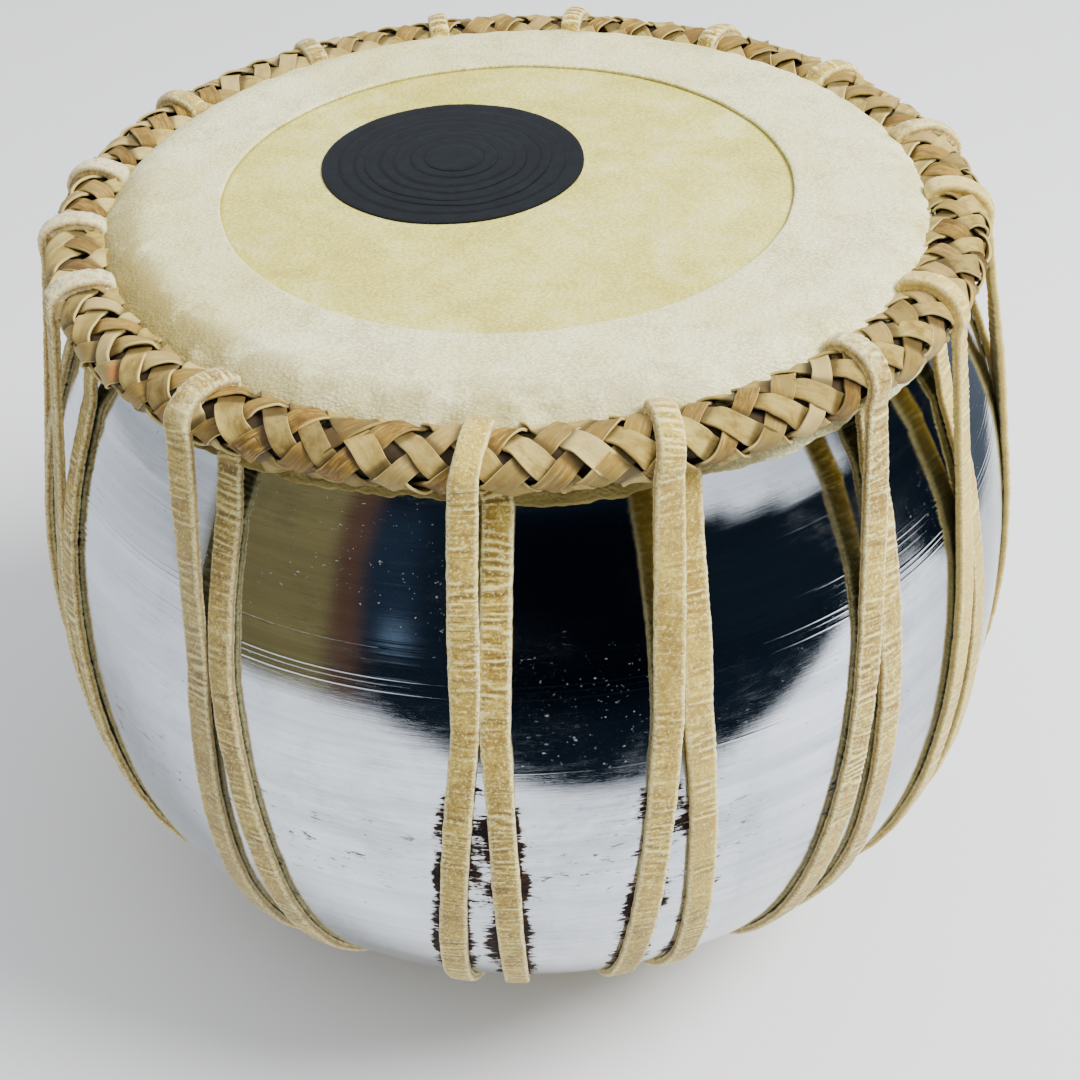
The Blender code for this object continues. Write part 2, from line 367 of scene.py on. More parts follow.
def chrome():
    """Plated metal: turning lines round the bowl, haze, pits, flaking rust where the straps hold damp, and
    painted darker reflections on its right and left sides.
    """
    look = Look("chrome", Metallic=1.0, Specular_IOR_Level=0.18)
    lines = look.noise(1.0, look.scaled(9, 9, 1100), detail=7.0, rough=0.8)
    bands = look.noise(1.0, look.scaled(4, 4, 210), detail=4.0)
    rub = look.noise(1.0, look.scaled(70, 70, 900), detail=6.0, rough=0.8)
    haze = look.noise(22.0, detail=7.0, rough=0.68, twist=0.5)
    fine = look.noise(210.0, look.scaled(1, 1, 2.2), detail=6.0, rough=0.8)
    worn = look.step(look.plus(haze, look.times(rub, 0.55), look.times(fine, 0.25)), 0.86, 1.10)
    scratches = look.step(look.noise(1.0, look.scaled(38, 38, 2100), detail=3.0, rough=0.6), 0.66, 0.74)

    patches = look.noise(115.0, detail=3.0, rough=0.6)
    spikes = look.noise(1.0, look.scaled(210, 210, 900), detail=6.0, rough=0.75)
    damp = look.value("rust")
    amount = look.plus(damp, look.times(patches, 1.9), look.times(spikes, 1.8), -1.83)
    flake = look.times(look.step(amount, 0.80, 0.86), look.step(damp, 0.12, 0.25))
    halo = look.times(look.step(amount, 0.62, 0.84), damp)
    specks = look.step(look.noise(620.0, look.scaled(1, 1, 1.8), detail=4.0, rough=0.7), 0.67, 0.71)
    specks = look.times(specks, look.step(look.noise(17.0, detail=4.0), 0.47, 0.60))
    height = look.height()
    belt = look.times(look.step(height, 0.112, 0.128), look.step(height, 0.132, 0.150, 1.0, 0.0))
    scuffs = look.noise(1.0, look.scaled(150, 150, 420), detail=6.0, rough=0.75, twist=0.6)
    scuffed = look.step(look.noise(24.0, detail=3.0), 0.46, 0.58)
    scuffs = look.times(look.step(scuffs, 0.60, 0.66), scuffed, belt)
    pits = look.step(look.cells(330.0), 0.05, 0.11, 1.0, 0.0)
    pits = look.times(pits, look.step(look.noise(30.0, detail=3.0), 0.64, 0.72))
    marks = look.most(look.times(pits, 0.75), look.most(look.times(specks, 0.8), look.times(scuffs, 0.8)))
    dark = look.most(flake, marks)

    drape = look.noise(1.0, look.scaled(26, 26, 5), detail=3.0, rough=0.6, twist=0.6)
    bright = look.tint(look.step(bands, 0.35, 0.7), (0.70, 0.745, 0.80), (0.54, 0.585, 0.64))
    bright = look.lay(bright, drape, 0.42, 0.66, 0.45, (0.46, 0.50, 0.56))
    bright = look.lay(bright, lines, 0.35, 0.65, 0.28, (0.44, 0.47, 0.51))
    dulled = look.over(bright, worn, 0.65, (0.36, 0.39, 0.43))
    dulled = look.over(dulled, scratches, 0.35, (0.92, 0.94, 0.97))
    scored = look.step(look.noise(1.0, look.scaled(55, 55, 1300, 0.4), detail=4.0, rough=0.7), 0.62, 0.72)
    dulled = look.over(dulled, scored, 0.55, (0.26, 0.28, 0.31))
    # Painted reflection: two soft spots tint the metal darker and bluer on the bowl's right and left sides.
    for place, reach, share, painted_dark_reflection in (((0.15, -0.04, 0.15), 0.12, 0.92, (0.17, 0.19, 0.215)),
                                         ((-0.14, -0.06, 0.15), 0.11, 0.55, (0.36, 0.40, 0.45))):
        dulled = look.tint(look.times(look.spot(place, 0.03, reach), share), dulled, painted_dark_reflection)
    browned = look.over(dulled, halo, 0.75, (0.22, 0.15, 0.10))
    rust = look.tint(look.step(fine, 0.46, 0.62), (0.008, 0.006, 0.006), (0.050, 0.018, 0.010))
    colour = look.tint(dark, browned, rust)
    rough = look.plus(0.052, look.times(worn, 0.15), look.times(scratches, 0.12))
    look.set(Base_Color=colour,
             Metallic=look.math("SUBTRACT", 1.0, dark),
             Roughness=look.most(rough, look.times(dark, 0.8)))
    turned_face = look.bump(look.plus(lines, look.times(rub, 0.45)), 1.5e-5)
    pitted = look.bump(look.times(dark, look.plus(0.3, fine)), 3.0e-4, turned_face)
    look.set(Normal=pitted)
    return look.material


def hide(name, light, shade, freckles, dirt_colour, grain_cells=760.0, rim=None):
    """Scraped skin: chalky patches, grain, pores, freckles, dirt and painted shade by a per-point value, and
    painted shade along the inside of a round `rim` if given.
    """
    look = Look(name, Subsurface_Weight=0.04, Subsurface_Scale=0.0015, Specular_IOR_Level=0.3)
    cloud = look.noise(16.0, detail=7.0, rough=0.66, twist=0.5)
    blotch = look.noise(70.0, detail=6.0, rough=0.7, twist=0.4)
    drift = look.node("TexNoise", {"Vector": look.place, "Scale": 60.0}).outputs["Color"]
    swirl = look.node("VectorMath", {0: drift, 1: (0.006, 0.006, 0.006), 2: look.scaled(1.0, 1.7, 1.0, 0.55)},
                      operation="MULTIPLY_ADD")
    pebbles = look.cells(grain_cells, swirl.outputs[0])
    creases = look.noise(1.0, look.scaled(1300, 330, 700, 0.5), detail=5.0, rough=0.7)
    fine = look.noise(1100.0, detail=4.0, rough=0.75)
    speck = look.step(look.noise(360.0, detail=5.0, rough=0.8), 0.63, 0.72)
    speck = look.times(speck, look.step(look.noise(24.0, detail=4.0), 0.48, 0.64), freckles)
    colour = look.tint(look.step(cloud, 0.34, 0.68), light, shade)
    colour = look.lay(colour, blotch, 0.50, 0.75, 0.35, dirt_colour)
    colour = look.lay(colour, blotch, 0.50, 0.28, 0.30, (0.92, 0.88, 0.74))
    hollows = look.times(look.step(pebbles, 0.30, 0.62), look.step(blotch, 0.35, 0.6, 0.5, 1.0))
    colour = look.tint(look.times(hollows, 0.42), colour, dirt_colour)
    colour = look.lay(colour, pebbles, 0.24, 0.08, 0.35, (0.96, 0.93, 0.78))
    colour = look.lay(colour, creases, 0.5, 0.75, 0.30, dirt_colour)
    # Blotchy darkening from a per-point value: handled dirt, and on the edge skin's shoulder and skirt also
    # painted shade.
    dirt = look.value("dirt")
    dirt_and_shade_smear = look.times(dirt, look.step(look.plus(look.noise(75.0, detail=7.0, rough=0.75),
                                                 look.times(dirt, 0.22)), 0.46, 0.70))
    colour = look.tint(look.times(dirt_and_shade_smear, 0.85), colour, dirt_colour)
    colour = look.over(colour, speck, 0.8, (0.10, 0.075, 0.05))
    # Painted shade: darker in a band fading in over 1.3 mm inside the rim, where the edge skin's cut steps
    # down onto this hide, and darker all beyond it.
    if rim:
        centre, radius = rim
        inside = look.spot(centre, radius - 1.3 * MM, radius)
        colour = look.tint(look.math("MULTIPLY_ADD", inside, -0.6, 0.6), colour, dirt_colour)
    look.set(Base_Color=colour, Roughness=look.plus(0.5, look.times(fine, 0.25)))
    height = look.plus(look.times(pebbles, -0.8), look.times(creases, 0.6), look.times(fine, 0.5),
                       look.times(blotch, 0.9))
    look.set(Normal=look.bump(height, 3.2e-4))
    return look.material


def paste():
    """Blue-black iron paste: rubbed matt, with fine circular stroke lines and tiny pits."""
    look = Look("iron_paste_rubbed", Specular_IOR_Level=0.22)
    way = look.vector(look.times(look.value("ring_way"), 2200.0), look.times(look.value("turn_way"), 4.0))
    strokes = look.noise(1.0, way, detail=5.0, rough=0.75)
    dust = look.noise(260.0, detail=7.0, rough=0.75)
    cloud = look.noise(55.0, detail=4.0)
    colour = look.tint(look.step(dust, 0.35, 0.75), (0.0030, 0.0044, 0.0064), (0.0080, 0.0108, 0.0140))
    colour = look.lay(colour, strokes, 0.5, 0.75, 0.5, (0.016, 0.020, 0.025))
    colour = look.lay(colour, cloud, 0.4, 0.7, 0.4, (0.0035, 0.0045, 0.007))
    colour = look.over(colour, look.value("ring_edge"), 0.6, (0.0012, 0.0014, 0.002))
    look.set(Base_Color=colour, Roughness=look.plus(0.46, look.times(dust, 0.25)))
    height = look.plus(look.times(strokes, 0.8), look.times(dust, 0.5))
    look.set(Normal=look.bump(height, 9e-5))
    return look.material


def plait_leather():
    """Flat strips: a smooth pale face one way, a fibrous brown face the other, with pale cut edges and
    painted shade where a strip dips under.
    """
    look = Look("plait_strips", Specular_IOR_Level=0.35)
    tone, along, cross, own = (look.value(name) for name in ("tone", "along", "cross", "own"))
    lengthwise = look.vector(look.times(along, 140.0), look.times(cross, 1500.0), look.times(own, 90.0))
    fibre = look.noise(1.0, lengthwise, detail=6.0, rough=0.7, twist=0.4)
    strip = look.vector(look.times(along, 170.0), look.times(cross, 260.0), look.times(own, 140.0))
    patch = look.noise(1.0, strip, detail=5.0, rough=0.7)
    fine = look.noise(900.0, detail=5.0, rough=0.75)
    pale = look.tint(look.step(patch, 0.38, 0.66), (0.50, 0.39, 0.110), (0.23, 0.150, 0.026))
    pale = look.lay(pale, fine, 0.55, 0.75, 0.5, (0.12, 0.075, 0.028))
    brown = look.tint(look.step(look.plus(look.times(patch, 0.7), look.times(fibre, 0.5)), 0.45, 0.80),
                      (0.11, 0.052, 0.006), (0.40, 0.245, 0.038))
    brown = look.lay(brown, fibre, 0.53, 0.72, 0.6, (0.62, 0.45, 0.18))
    brown = look.lay(brown, patch, 0.58, 0.72, 0.6, (0.065, 0.030, 0.008))
    colour = look.tint(look.value("flesh"), pale, brown)
    colour = look.tint(look.step(tone, 0.0, 1.0, 0.0, 0.55), colour, (0.62, 0.49, 0.20))
    colour = look.tint(look.times(look.step(tone, -1.0, 0.0, 1.0, 0.0), 0.55), colour, (0.085, 0.045, 0.015))
    stain = look.times(look.value("stain"), look.step(fine, 0.35, 0.6))
    colour = look.tint(stain, colour, (0.88, 0.19, 0.005))
    edge = look.step(look.value("edge"), 0.25, 0.9)
    colour = look.over(colour, edge, 0.8, (0.68, 0.55, 0.21))
    # Painted shade where a strip dips under its neighbours.
    colour = look.over(colour, look.value("deep"), 0.8, (0.045, 0.024, 0.007))
    look.set(Base_Color=colour, Roughness=look.plus(0.42, look.times(fibre, 0.3)))
    look.set(Normal=look.bump(look.plus(fibre, look.times(patch, 0.6), look.times(fine, 0.4)), 1.3e-4))
    return look.material


def suede():
    """Buff strap: golden face, grainy, with painted highlights on the ridges of its creases and painted shade
    in their troughs, amber cut sides, pale fuzzy edges, and a tone partly random and partly painted light:
    greyer on the drum's left, more golden on its right.
    """
    look = Look("suede_strap_worn", Sheen_Weight=0.2, Sheen_Roughness=0.6, Specular_IOR_Level=0.25)
    tone = look.value("tone")
    nap = look.noise(1250.0, detail=4.0, rough=0.8)
    flecks = look.noise(520.0, detail=6.0, rough=0.8, twist=0.4)
    cloud = look.noise(85.0, detail=6.0, rough=0.7, twist=0.6)
    crease = look.value("crease")
    face = look.tint(look.step(cloud, 0.36, 0.64), (0.32, 0.190, 0.014), (0.56, 0.405, 0.058))
    face = look.lay(face, flecks, 0.46, 0.37, 0.60, (0.105, 0.052, 0.006))
    # Painted shade in the troughs of the strap's creases.
    face = look.lay(face, crease, 0.49, 0.34, 0.70, (0.115, 0.058, 0.006))
    # Painted highlight on the ridges of the strap's creases.
    ridge_highlight = look.step(look.plus(look.times(crease, 1.15), look.times(flecks, 0.6)), 0.92, 1.08)
    face = look.over(face, ridge_highlight, 0.80, (0.92, 0.83, 0.34))
    face = look.lay(face, nap, 0.54, 0.64, 0.75, (0.96, 0.88, 0.38))
    face = look.lay(face, nap, 0.46, 0.38, 0.45, (0.17, 0.085, 0.010))
    patchy = look.times(look.math("SUBTRACT", cloud, 0.5), 0.9)
    rub = look.step(look.plus(look.value("worn"), patchy), 0.38, 0.85)
    face = look.tint(look.times(rub, look.step(flecks, 0.38, 0.56, 0.2, 0.95)), face, (0.80, 0.74, 0.47))
    side = look.tint(look.step(flecks, 0.4, 0.62), (0.20, 0.085, 0.008), (0.52, 0.32, 0.065))
    colour = look.tint(look.value("side"), face, side)
    fuzz = look.times(look.value("edge"), look.step(nap, 0.40, 0.56, 0.15, 1.0))
    colour = look.over(colour, fuzz, 0.85, (0.95, 0.87, 0.42))
    # Painted light with a random tone: straps on the drum's left run greyer and on its right more golden,
    # with random spread.
    colour = look.tint(look.step(tone, 0.0, 1.0, 0.0, 0.55), colour, (0.30, 0.265, 0.165))
    colour = look.tint(look.step(tone, -1.0, 0.0, 0.50, 0.0), colour, (0.82, 0.62, 0.15))
    stain = look.times(look.value("stain"), look.step(flecks, 0.35, 0.55))
    colour = look.tint(stain, colour, (0.90, 0.20, 0.005))
    look.set(Base_Color=colour, Roughness=look.plus(0.72, look.times(nap, 0.2)))
    height = look.plus(look.times(nap, 0.6), look.times(flecks, 0.9))
    look.set(Normal=look.bump(height, 2.2e-4))
    return look.material


def rope_hide():
    look = Look("hoop_core_hide", Roughness=0.85)
    fibre = look.noise(1.0, look.scaled(300, 300, 900), detail=5.0, rough=0.7)
    look.set(Base_Color=look.tint(fibre, (0.018, 0.011, 0.005), (0.055, 0.034, 0.015)))
    look.set(Normal=look.bump(fibre, 3e-4))
    return look.material


def wire():
    look = Look("ring_wire_dull", Metallic=1.0)
    mottle = look.noise(160.0, detail=6.0, rough=0.7)
    scale = look.step(mottle, 0.52, 0.70)
    look.set(Base_Color=look.tint(scale, (0.34, 0.34, 0.35), (0.10, 0.055, 0.035)),
             Roughness=look.step(mottle, 0.3, 0.7, 0.3, 0.6),
             Normal=look.bump(mottle, 8e-5))
    return look.material


# ---- lacing routes
STRAND_TOP_HALF_GAP = 3.8 * MM    # a strand's middle from its pair's middle, as in the CAD
STRAND_LOW_HALF_GAP = 8.5 * MM
STRAND_RING_HALF_GAP = 5.4 * MM
SPREAD_TOP_Z = 0.176
SPREAD_LOW_Z = 0.072
OUTER_LEAVES_Z = 0.168            # the outer strand hangs free above this
BOWL_LEAVES_RADIUS = 0.084        # both strands leave the bowl for the ring here
HOOP_MIDDLE_Z = (HOOP_LOW.z + HOOP_HIGH.z) / 2
BELLY_Z = 0.122
PASSAGE_TOP_Z = 0.2445
PASSAGE_END_Z = 0.2330
RING_TURN_END = math.radians(-275)


def middle_angle(points, low, high):
    """Azimuth midway between a strap's two strands, and its height, from points between two heights."""
    chosen = points[(points[:, 2] > low) & (points[:, 2] < high)]
    about = math.atan2(*chosen.mean(0)[1::-1])
    angles = wrapped(azimuth_of(chosen) - about)
    return about + (angles.min() + angles.max()) / 2, chosen[:, 2].mean()


def strap_place(node):
    """Azimuth of a strap's loop and of its turn round the ring, from its CAD solid, in radians."""
    points = points_of(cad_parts[node])
    belly, belly_z = middle_angle(points, 0.115, 0.130)
    under, under_z = middle_angle(points, 0.025, 0.050)
    slope = (under - belly) / (belly_z - under_z)
    top = belly - slope * (HOOP_MIDDLE_Z - belly_z)
    return top, top + slope * HOOP_MIDDLE_Z


def half_gap(z):
    opening = np.clip((z - SPREAD_LOW_Z) / (SPREAD_TOP_Z - SPREAD_LOW_Z), 0, 1) ** 1.8
    ring = smooth((SPREAD_LOW_Z - z) / (SPREAD_LOW_Z - RING_MIDDLE_Z))
    return (STRAND_LOW_HALF_GAP + (STRAND_TOP_HALF_GAP - STRAND_LOW_HALF_GAP) * opening
            + (STRAND_RING_HALF_GAP - STRAND_LOW_HALF_GAP) * ring)


def strand_angle(place, radius, z, side):
    top, ring = place
    share = np.minimum((HOOP_MIDDLE_Z - z) / HOOP_MIDDLE_Z, 1.0)
    return top + (ring - top) * share + side * half_gap(z) / np.maximum(radius, RING_WIRE)


bowl_outline = outline("bowl_shell")
skin_outline = [point for point in outline("edge_skin") if point[0] > 0.1][:-1]
places = {name: strap_place(name) for name in STRAPS}


def strap_route():
    """(radius, height, side) of a strap, evenly spaced: outer strand, loop over the plait, inner strand."""
    lift = STRAP_THICKNESS / 2 + 0.1 * MM
    bowl = offset(curve_through(bowl_outline[2:], 400), lift)
    on_bowl = bowl[(bowl[:, 0] > BOWL_LEAVES_RADIUS) | (bowl[:, 1] > BELLY_Z)]
    reach = RING_WIRE + 0.3 * MM + STRAP_THICKNESS / 2
    leaving = on_bowl[-1] - (RING_RADIUS, RING_MIDDLE_Z)
    tangent = math.atan2(leaving[1], leaving[0]) - math.acos(reach / math.hypot(*leaving))
    turn = np.linspace(tangent, RING_TURN_END, 30)
    ring = np.c_[RING_RADIUS + reach * np.cos(turn), RING_MIDDLE_Z + reach * np.sin(turn)]
    outer = np.concatenate([on_bowl[on_bowl[:, 1] < OUTER_LEAVES_Z], ring])[::-1]
    over = np.radians(np.linspace(-12, 132, 40))
    wide, high = np.add(PLAIT_HALF, STRAP_THICKNESS / 2 + 0.9 * MM)
    loop = np.c_[PLAIT_MIDDLE[0] + wide * np.cos(over), PLAIT_MIDDLE[1] + high * np.sin(over)]
    passage = offset(curve_through(skin_outline, 60), STRAP_THICKNESS / 2 + 0.9 * MM)
    passage = passage[(passage[:, 1] < PASSAGE_TOP_Z) & (passage[:, 1] > PASSAGE_END_Z)]
    inner = np.concatenate([passage, on_bowl[on_bowl[:, 1] < PASSAGE_END_Z - 0.006], ring])
    line = np.concatenate([outer, loop, inner])
    crossing = np.full(len(inner), 1.0)
    crossing[:len(passage)] = smooth(np.linspace(0, 1, len(passage))) * 1.25 - 0.25
    looping = smooth(np.linspace(0, 1, len(loop))) * 0.75 - 1
    side = np.concatenate([np.full(len(outer), -1.0), looping, crossing])
    return soften(even(np.c_[line, side], STRAP_STEP), 4)


# ---- pieces
SHELL_WALL = 1.8 * MM
SKIRT_FLARE = [(127.4 * MM, 236.4 * MM), (129.2 * MM, 234.0 * MM), (130.6 * MM, 232.4 * MM)]
STRIP_THICKNESS = 0.80 * MM
PATCH_RINGS = (9.0, 4.2, 5.2, 3.6, 4.6, 3.4, 4.6, 5.6)   # widths from the middle out, as shares
LINES = tuple((z, rise * MM) for z, rise in (   # height and rise of each fine line on the wall
    (0.1982, 0.030), (0.1966, 0.055), (0.1949, 0.030), (0.1928, 0.018), (0.1886, 0.050), (0.1871, 0.030),
    (0.1852, 0.040), (0.2120, 0.016), (0.1640, 0.014)))
RUST = {(1, -1): 1.02, (1, 1): 1.08, (2, -1): 0.86, (2, 1): 0.70}   # by strap and strand
RUST_ELSEWHERE = 0.56
RUST_TOP_Z = 0.185
RUST_REACH = 6.0 * MM
STAINS = ((-0.102, -0.086, 0.2465), (0.115, -0.078, 0.2400))
CLOTH_CORNERS = (                 # the part of the floor that shows in the chrome, in metres
    (-2.6, 3.0), (-2.6, -0.3), (-0.6, -0.3), (-0.5, -0.5), (-0.35, -0.6), (-0.2, -0.55), (0.0, -0.43),
    (0.25, -0.37), (0.75, -0.34), (0.7, -0.1), (0.45, 0.05), (0.4, 0.2), (0.4, 0.35), (2.6, 1.8), (2.6, 3.0))
CARDS = (                         # what the chrome mirrors: azimuths, heights and blur in degrees, and colour
    (-131, 24, -40, 36, 3.0, (0.010, 0.017, 0.027)),
    (-100, -60, -16, 30, 9.0, (0.0015, 0.003, 0.006)),
    (-130, -115, -4, 26, 3.0, (0.020, 0.035, 0.060)),
    (-122, -117, -5, 3, 1.8, (0.14, 0.20, 0.28)),
    (-52, -40, 17, 60, 2.5, (1.5, 1.55, 1.6)),
    (-43, -28, 12, 60, 2.5, (1.5, 1.55, 1.6)),
    (-30, -12, 6, 60, 2.5, (1.3, 1.35, 1.4)),
    (-166, -132, -40, 42, 2.0, (0.25, 0.205, 0.085)),
    (-134, -127, -40, 42, 1.5, (0.13, 0.070, 0.045)),
    (24, 62, -40, 14, 8.0, (0.20, 0.24, 0.30)),
)
edge_points = points_of(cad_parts["edge_skin"])
window = edge_points[radius_of(edge_points) < 0.09]
WINDOW_CENTRE = (window.min(0) + window.max(0)) / 2
WINDOW_RADIUS = np.ptp(window[:, 0]) / 2


def crown(radius):
    """Share of the head's bend at this radius: 1 in the middle, 0 at the rim."""
    return smooth((HEAD_FREE_RADIUS - radius) / (HEAD_FREE_RADIUS - HEAD_RIGID_RADIUS))


def bend_with_head(piece):
    """Bakes the piece's placement into its mesh."""
    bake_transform(piece)


def rust_at(points):
    """How much damp the straps hold against the bowl, by place: worst at the front."""
    radius = radius_of(points)
    angle = azimuth_of(points)
    z = points[..., 2]
    height = smooth((z - 0.045) / 0.03) * smooth((RUST_TOP_Z - z) / 0.045)
    total = np.zeros_like(z)
    for number, name in enumerate(STRAPS, start=1):
        for side in (-1, 1):
            away = wrapped(angle - strand_angle(places[name], radius, z, side))
            gap = np.abs(away * radius) - STRAP_WIDTH / 2
            near = smooth(1 - np.maximum(gap, 0) / RUST_REACH)
            total = np.maximum(total, RUST.get((number, side), RUST_ELSEWHERE) * near * height)
    return total


def stain_at(points, reach):
    """How much orange powder lies here."""
    return np.max([smooth(1 - np.linalg.norm(points - spot, axis=-1) / reach) for spot in STAINS], axis=0)


def build_bowl():
    """A lathed shell with fine turned lines, rolled lip and slightly uneven hand-spun wall."""
    outer = curve_through(bowl_outline[2:], 1400)
    step = np.linalg.norm(np.diff(outer, axis=0), axis=1).mean()
    rise = sum(rise * np.exp(-((outer[:, 1] - z) / (0.20 * MM)) ** 2) for z, rise in LINES)
    outer = outer + rise[:, None] * np.c_[-np.gradient(outer[:, 1]), np.gradient(outer[:, 0])] / step
    close = np.min([np.abs(outer[:, 1] - z) for z, _ in LINES], axis=0) < 0.9 * MM
    chosen = close | (np.arange(len(outer)) % 9 == 0)
    chosen[-1] = True
    wall = offset(outer[::30], -SHELL_WALL)[::-1]
    lip = [(bowl_outline[0][0] + x * MM, bowl_outline[0][1] + z * MM)
           for x, z in ((-1.7, -2.4), (-1.5, -0.8), (-0.6, 0.0), (0.5, 0.0), (1.3, -0.5))]
    profile = np.concatenate([[(0.6 * MM, SHELL_WALL)], wall, lip, outer[chosen], [(0.6 * MM, 0.0)]])
    points = turned(profile, around(300))
    radial = points / np.maximum(np.linalg.norm(points[..., :2], axis=-1, keepdims=True), MM) * (1, 1, 0)
    uneven = ripple(points, 55 * MM, 3) * 0.10 * MM + ripple(points, 20 * MM, 4) * 0.018 * MM
    points = points + radial * (uneven * smooth((points[..., 2] - 0.004) / 0.02))[..., None]
    surface = Surface().add(points, capped=True, rust=rust_at(points))
    return surface.build("bowl", chrome(), "chromed_metal", ["bowl_shell"])


def dirt_at(points):
    """Handled dirt and painted shade on the edge skin: darker down the shoulder and skirt, most on the left
    and front left, with a trace at the front and a little all round.
    """
    radius = radius_of(points)
    angle = np.degrees(azimuth_of(points))
    shoulder = smooth((radius - 0.100) / 0.013) + 0.9 * smooth((0.2400 - points[..., 2]) / 0.003)
    left = np.maximum(smooth(1 - np.abs((angle + 150 + 180) % 360 - 180) / 75),
                      0.62 * smooth(1 - np.abs(angle + 95) / 60))
    return shoulder * np.maximum(1.2 * left, 0.30)


def build_edge_skin():
    """The upper hide: flat ring with a cut window, puckered where the plait pulls it, ragged at its skirt."""
    angles = around(900)
    spoke = np.c_[np.cos(angles), np.sin(angles)]
    rough_cut = WINDOW_RADIUS + 0.22 * MM * ripple(np.c_[spoke * WINDOW_RADIUS, angles * 0], 22 * MM, 11)
    flat_end = skin_outline[0][0]
    drape = curve_through(skin_outline[:-1] + SKIRT_FLARE, 400)
    along = np.linspace(0, 1, len(drape))
    ragged = 1 + sum(share * ripple(np.c_[spoke, angles * 0] * flat_end, size * MM, seed)
                     for share, size, seed in ((0.045, 34, 12), (0.020, 9, 13), (0.010, 2.5, 18)))
    top = []
    for share in np.r_[0, 0.010, 0.025, np.linspace(0.05, 1, 26)]:
        radius = rough_cut + (flat_end - rough_cut) * share
        fade = smooth(1 - share)
        edge = 0.30 * MM * (1 - smooth(share / 0.03))
        top.append(np.c_[spoke * radius[:, None] + WINDOW_CENTRE[:2] * fade, CREST_Z - edge + 0 * angles])
    for share in np.linspace(0, 1, 56)[1:]:
        at = np.minimum(share * (1 + (ragged - 1) * share ** 3) * 0.97, 0.955 + 0.045 * share)
        radius = np.interp(at, along, drape[:, 0])
        top.append(np.c_[spoke * radius[:, None], np.interp(at, along, drape[:, 1])])
    top = np.array(top)
    radius = radius_of(top)
    rim = smooth((radius - 0.107) / 0.010)
    pucker = np.cos(azimuth_of(top) * PLAIT_CELLS + 2 * ripple(top, 40 * MM, 14)) * 0.16 * MM
    pucker = pucker * rim * smooth((0.127 - radius) / 0.006)
    uneven = ripple(top, 9 * MM, 15) * 0.22 * MM * rim + ripple(top, 30 * MM, 16) * 0.06 * MM
    normal = unit(np.cross(np.gradient(top, axis=0), np.gradient(top, axis=1)))
    ruffle = ripple(top, 13 * MM, 17) * 0.7 * MM * smooth((CREST_Z - 0.010 - top[..., 2]) / 0.008)
    top = top + normal * (pucker + uneven + np.abs(ruffle))[..., None]
    under = top - normal * SKIN
    under[0] = np.c_[top[0, :, :2] + spoke * 0.05 * MM, CREST_Z - SKIN_STEP + 0 * angles]
    under = under[::-1][np.r_[0, 1, 2, 4:len(under) - 3:5, len(under) - 1]]
    points = np.concatenate([top, under])
    points[..., 2] += HEAD_CROWN * crown(radius_of(points))
    surface = Surface()
    # Per-point dirt and painted shade: darker down the shoulder and skirt, most on the left.
    surface.add(points, looped=True, dirt=dirt_at(points))
    look = hide("edge_hide_scraped", (0.97, 0.955, 0.60), (0.85, 0.81, 0.38), 1.0, (0.34, 0.27, 0.080), 900.0)
    piece = surface.build("edge_skin_hide", look, "edge_hide", ["edge_skin"], body=None)
    bend_with_head(piece)
    return piece


def build_playing_skin():
    """The full hide under the edge skin, smooth and yellower, with its own skirt."""
    drape = offset(curve_through(skin_outline, 50), -SKIN_STEP)
    drape = drape[drape[:, 1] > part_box("playing_skin")[0].z]
    flat = [(radius * MM, CREST_Z - SKIN_STEP) for radius in np.r_[0.5, np.arange(2, 103, 1.5)]]
    top = np.concatenate([flat, drape])
    under = offset(top, -SKIN)
    points = turned(np.concatenate([top, under[::-1]]), around(420))
    points[..., 2] += HEAD_CROWN * crown(radius_of(points))
    points[..., 2] += ripple(points * (1, 1, 0), 45 * MM, 21) * 0.05 * MM
    surface = Surface()
    surface.add(points, capped=True, dirt=0.10 + 0 * points[..., 0])
    # The playing hide gets painted shade along the edge of the window cut in the edge skin.
    look = hide("playing_hide_smooth", (0.84, 0.79, 0.235), (0.67, 0.60, 0.115), 0.3, (0.36, 0.30, 0.045),
                rim=(WINDOW_CENTRE, WINDOW_RADIUS))
    piece = surface.build("playing_skin_hide", look, "playing_hide", ["playing_skin"], body=None)
    bend_with_head(piece)
    return piece


